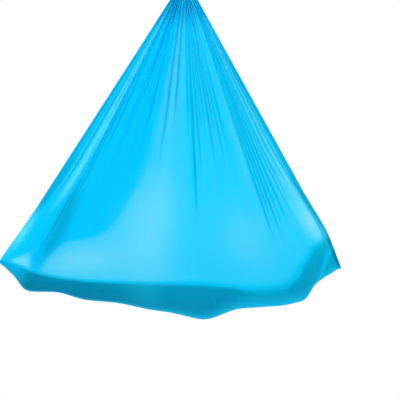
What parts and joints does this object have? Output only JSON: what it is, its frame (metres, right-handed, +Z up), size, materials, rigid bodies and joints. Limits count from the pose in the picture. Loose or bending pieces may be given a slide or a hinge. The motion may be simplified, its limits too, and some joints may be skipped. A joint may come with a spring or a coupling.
{
  "type": "aerial hammock",
  "caption": "One-point aerial yoga hammock: cyan stretch cloth hung as an open trough from two carabiners, a ball bearing swivel and a ceiling plate that swings.",
  "frame": {"origin": "middle of the ceiling plate's top face, where it meets the ceiling", "axes": "+Z up, out of the plate towards the ceiling; +X along the hammock, from its left tip to its right tip as seen from the front; -Y towards the viewer"},
  "size_m": [1.7522, 0.43, 2.1494],
  "materials": {
    "ceiling_plate": "zinc-plated steel, satin",
    "pivot_bolt": "zinc-plated steel, satin",
    "pivot_nut": "zinc-plated steel, satin",
    "pivot_washer_head_side": "zinc-plated steel, satin",
    "pivot_washer_nut_side": "zinc-plated steel, satin",
    "pivot_bush_left": "plain bearing bronze",
    "pivot_bush_right": "plain bearing bronze",
    "swing_eye": "zinc-plated steel, satin",
    "upper_carabiner_frame": "zinc-plated steel, satin",
    "upper_carabiner_gate": "zinc-plated steel, satin",
    "upper_carabiner_rivet": "dark plated steel",
    "upper_carabiner_plunger": "dark plated steel",
    "upper_carabiner_spring": "dark plated steel",
    "upper_carabiner_sleeve": "dark plated steel",
    "swivel_housing": "zinc-plated steel, satin",
    "swivel_cap": "dark plated steel, satin",
    "swivel_lower_race": "zinc-plated steel, satin",
    "swivel_ball_cage": "plain bearing bronze",
    "swivel_upper_race": "zinc-plated steel, satin",
    "swivel_nut": "zinc-plated steel, satin",
    "swivel_eye": "zinc-plated steel, satin",
    "front_carabiner_frame": "zinc-plated steel, satin",
    "front_carabiner_gate": "zinc-plated steel, satin",
    "front_carabiner_rivet": "dark plated steel",
    "front_carabiner_plunger": "dark plated steel",
    "front_carabiner_spring": "dark plated steel",
    "front_carabiner_sleeve": "dark plated steel",
    "rear_carabiner_frame": "zinc-plated steel, satin",
    "rear_carabiner_gate": "zinc-plated steel, satin",
    "rear_carabiner_rivet": "dark plated steel",
    "rear_carabiner_plunger": "dark plated steel",
    "rear_carabiner_spring": "dark plated steel",
    "rear_carabiner_sleeve": "dark plated steel",
    "front_hitch": "cyan nylon tricot, semi-sheer, matt",
    "rear_hitch": "cyan nylon tricot, semi-sheer, matt",
    "hammock_cloth": "cyan nylon tricot, semi-sheer, matt"
  },
  "bodies": {
    "ceiling_mount": {"ceiling_plate": "ceiling_plate", "pivot_bolt": "pivot_bolt", "pivot_nut": "pivot_nut", "pivot_washer_head_side": "pivot_washer_head_side", "pivot_washer_nut_side": "pivot_washer_nut_side"},
    "hanger": {"swing_eye": "swing_eye", "pivot_bush_left": "pivot_bush_left", "pivot_bush_right": "pivot_bush_right"},
    "upper_carabiner": {"upper_carabiner_frame": "upper_carabiner_frame", "upper_carabiner_rivet": "upper_carabiner_rivet"},
    "upper_gate": {"upper_carabiner_gate": "upper_carabiner_gate", "upper_carabiner_plunger": "upper_carabiner_plunger", "upper_carabiner_spring": "upper_carabiner_spring"},
    "upper_sleeve": {"upper_carabiner_sleeve": "upper_carabiner_sleeve"},
    "swivel_top": {"swivel_housing": "swivel_housing", "swivel_cap": "swivel_cap", "swivel_lower_race": "swivel_lower_race", "swivel_ball_cage": "swivel_ball_cage"},
    "swivel_bottom": {"swivel_eye": "swivel_eye", "swivel_nut": "swivel_nut", "swivel_upper_race": "swivel_upper_race"},
    "hammock": {"front_carabiner_frame": "front_carabiner_frame", "front_carabiner_rivet": "front_carabiner_rivet", "rear_carabiner_frame": "rear_carabiner_frame", "rear_carabiner_rivet": "rear_carabiner_rivet", "front_hitch": "front_hitch", "rear_hitch": "rear_hitch", "hammock_cloth": "hammock_cloth"},
    "front_gate": {"front_carabiner_gate": "front_carabiner_gate", "front_carabiner_plunger": "front_carabiner_plunger", "front_carabiner_spring": "front_carabiner_spring"},
    "front_sleeve": {"front_carabiner_sleeve": "front_carabiner_sleeve"},
    "rear_gate": {"rear_carabiner_gate": "rear_carabiner_gate", "rear_carabiner_plunger": "rear_carabiner_plunger", "rear_carabiner_spring": "rear_carabiner_spring"},
    "rear_sleeve": {"rear_carabiner_sleeve": "rear_carabiner_sleeve"}
  },
  "joints": [
    {"name": "hanger_swing", "type": "hinge", "parent": "ceiling_mount", "child": "hanger", "pos_m": [0, 0, -0.035], "axis": [1, 0, 0], "range_deg": [-45, 45]},
    {"name": "carabiner_rock", "type": "hinge", "parent": "hanger", "child": "upper_carabiner", "pos_m": [0, 0, -0.088], "axis": [0, 1, 0], "range_deg": [-25, 25]},
    {"name": "upper_gate_hinge", "type": "hinge", "parent": "upper_carabiner", "child": "upper_gate", "pos_m": [0.025, 0, -0.1417], "axis": [0, -1, 0], "range_deg": [0, 28], "stiffness_Nm_per_rad": 0.3, "springref_deg": -17.19},
    {"name": "upper_sleeve_slide", "type": "slide", "parent": "upper_gate", "child": "upper_sleeve", "axis": [0, 0, 1], "range_m": [0, 0.01]},
    {"name": "swivel_rock", "type": "hinge", "parent": "upper_carabiner", "child": "swivel_top", "pos_m": [0, 0, -0.1737], "axis": [1, 0, 0], "range_deg": [-35, 35]},
    {"name": "swivel_spin", "type": "hinge", "parent": "swivel_top", "child": "swivel_bottom", "pos_m": [0, 0, -0.2276], "axis": [0, 0, 1], "continuous": true},
    {"name": "hammock_rock", "type": "hinge", "parent": "swivel_bottom", "child": "hammock", "pos_m": [0, 0, -0.288], "axis": [0, 1, 0], "range_deg": [-20, 20]},
    {"name": "front_gate_hinge", "type": "hinge", "parent": "hammock", "child": "front_gate", "pos_m": [0.025, -0.02382, -0.34002], "axis": [0, -0.9745, 0.2245], "range_deg": [0, 28], "stiffness_Nm_per_rad": 0.3, "springref_deg": -17.19},
    {"name": "front_sleeve_slide", "type": "slide", "parent": "front_gate", "child": "front_sleeve", "axis": [0, 0.2245, 0.9745], "range_m": [0, 0.01]},
    {"name": "rear_gate_hinge", "type": "hinge", "parent": "hammock", "child": "rear_gate", "pos_m": [-0.025, 0.02382, -0.34002], "axis": [0, 0.9745, 0.2245], "range_deg": [0, 28], "stiffness_Nm_per_rad": 0.3, "springref_deg": -17.19},
    {"name": "rear_sleeve_slide", "type": "slide", "parent": "rear_gate", "child": "rear_sleeve", "axis": [0, -0.2245, 0.9745], "range_m": [0, 0.01]}
  ]
}
